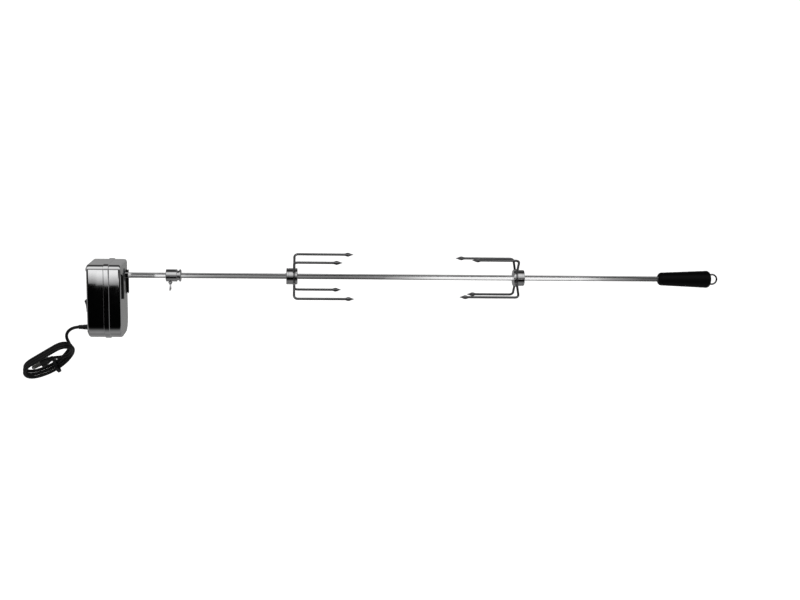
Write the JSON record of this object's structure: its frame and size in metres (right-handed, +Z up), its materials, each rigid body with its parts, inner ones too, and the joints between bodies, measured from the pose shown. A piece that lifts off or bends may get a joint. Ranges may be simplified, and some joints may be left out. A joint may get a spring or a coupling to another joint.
{
  "type": "barbecue rotisserie kit",
  "caption": "Barbecue rotisserie kit: steel motor box with coiled mains lead, square spit with tapered handle and ring, clamping collar, and facing four-tine forks.",
  "frame": {"origin": "on the spit's axis, in the motor box's drive face, where the barbecue's bracket holds the box", "axes": "+X along the spit from the motor to the handle, +Z up, +Y to the back"},
  "size_m": [1.1705, 0.0907, 0.2208],
  "materials": {
    "polished_steel": "polished stainless sheet with fine straight grain",
    "rod_steel": "bright polished stainless bar",
    "tine_steel": "polished stainless wire",
    "turned_steel": "turned and polished steel",
    "zinc_steel": "zinc-plated steel",
    "black_rail": "black painted steel",
    "black_plastic": "black moulded plastic, satin",
    "black_rubber": "black flexible vinyl",
    "nylon": "natural nylon",
    "bronze": "sintered bronze",
    "brass": "machined brass",
    "plated_brass": "nickel-plated brass",
    "winding": "enamelled copper winding with tape",
    "core_plastic": "dark moulded core",
    "wire_grey": "vinyl wire insulation"
  },
  "bodies": {
    "motor_box": {"drive_cover": "polished_steel", "outer_cover": "polished_steel", "cover_posts": "zinc_steel", "cover_screws": "zinc_steel", "rail_near": "black_rail", "rail_far": "black_rail", "rail_rivets": "zinc_steel", "plate_studs": "zinc_steel", "gear_plate_front": "zinc_steel", "gear_plate_back": "zinc_steel", "plate_spacers": "zinc_steel", "plate_screws": "zinc_steel", "bush_front": "black_plastic", "bush_back": "bronze", "idler_axle": "zinc_steel", "gearmotor_can": "zinc_steel", "gearmotor_lid": "zinc_steel", "gearmotor_coil": "winding", "gearmotor_core": "core_plastic", "gearmotor_screws": "zinc_steel", "switch_body": "black_plastic", "switch_terminals": "plated_brass", "mains_wires": "wire_grey", "motor_wires": "wire_grey", "strain_relief": "black_rubber", "power_cord": "black_rubber", "cord_hank": "black_rubber", "cord_tie": "black_plastic", "plug": "black_rubber", "plug_blades": "plated_brass"},
    "drive": {"output_gear": "nylon"},
    "idler": {"idler_gear": "nylon"},
    "motor_drive": {"motor_pinion": "brass", "motor_shaft": "zinc_steel"},
    "spit": {"spit_rod": "rod_steel", "spit_handle": "black_plastic", "handle_ring": "turned_steel"},
    "collar": {"collar": "turned_steel"},
    "collar_screw": {"collar_screw": "turned_steel"},
    "left_fork": {"left_hub": "turned_steel", "left_long_tines": "tine_steel", "left_short_tines": "tine_steel"},
    "left_screw": {"left_screw": "turned_steel"},
    "right_fork": {"right_hub": "turned_steel", "right_long_tines": "tine_steel", "right_short_tines": "tine_steel"},
    "right_screw": {"right_screw": "turned_steel"},
    "switch_rocker": {"rocker": "black_plastic"}
  },
  "joints": [
    {"name": "spit_turn", "type": "hinge", "parent": "motor_box", "child": "drive", "pos_m": [0, 0, 0], "axis": [1, 0, 0], "continuous": true},
    {"name": "idler_turn", "type": "hinge", "parent": "motor_box", "child": "idler", "pos_m": [0, 0, -0.024], "axis": [1, 0, 0], "continuous": true},
    {"name": "motor_turn", "type": "hinge", "parent": "motor_box", "child": "motor_drive", "pos_m": [0, 0, -0.04], "axis": [1, 0, 0], "continuous": true},
    {"name": "spit_pull", "type": "slide", "parent": "drive", "child": "spit", "axis": [1, 0, 0], "range_m": [0, 0.06]},
    {"name": "collar_slide", "type": "slide", "parent": "spit", "child": "collar", "axis": [1, 0, 0], "range_m": [-0.04, 0.012]},
    {"name": "collar_screw_turn", "type": "hinge", "parent": "collar", "child": "collar_screw", "pos_m": [0.0748, 0, 0], "axis": [0, 0, 1], "range_deg": [-180, 0]},
    {"name": "left_fork_slide", "type": "slide", "parent": "spit", "child": "left_fork", "axis": [1, 0, 0], "range_m": [-0.15, 0.08]},
    {"name": "left_screw_turn", "type": "hinge", "parent": "left_fork", "child": "left_screw", "pos_m": [0.27, 0, 0], "axis": [0, 1, 0], "range_deg": [-180, 0]},
    {"name": "right_fork_slide", "type": "slide", "parent": "spit", "child": "right_fork", "axis": [1, 0, 0], "range_m": [-0.08, 0.2]},
    {"name": "right_screw_turn", "type": "hinge", "parent": "right_fork", "child": "right_screw", "pos_m": [0.6555, 0, 0], "axis": [0, 1, 0], "range_deg": [-180, 0]},
    {"name": "switch_rock", "type": "hinge", "parent": "motor_box", "child": "switch_rocker", "pos_m": [-0.0555, -0.022, -0.046], "axis": [0, 1, 0], "range_deg": [0, 22]}
  ],
  "couplings": [
    {"joint": "idler_turn", "follows": "spit_turn", "ratio": -3},
    {"joint": "motor_turn", "follows": "spit_turn", "ratio": 9}
  ]
}
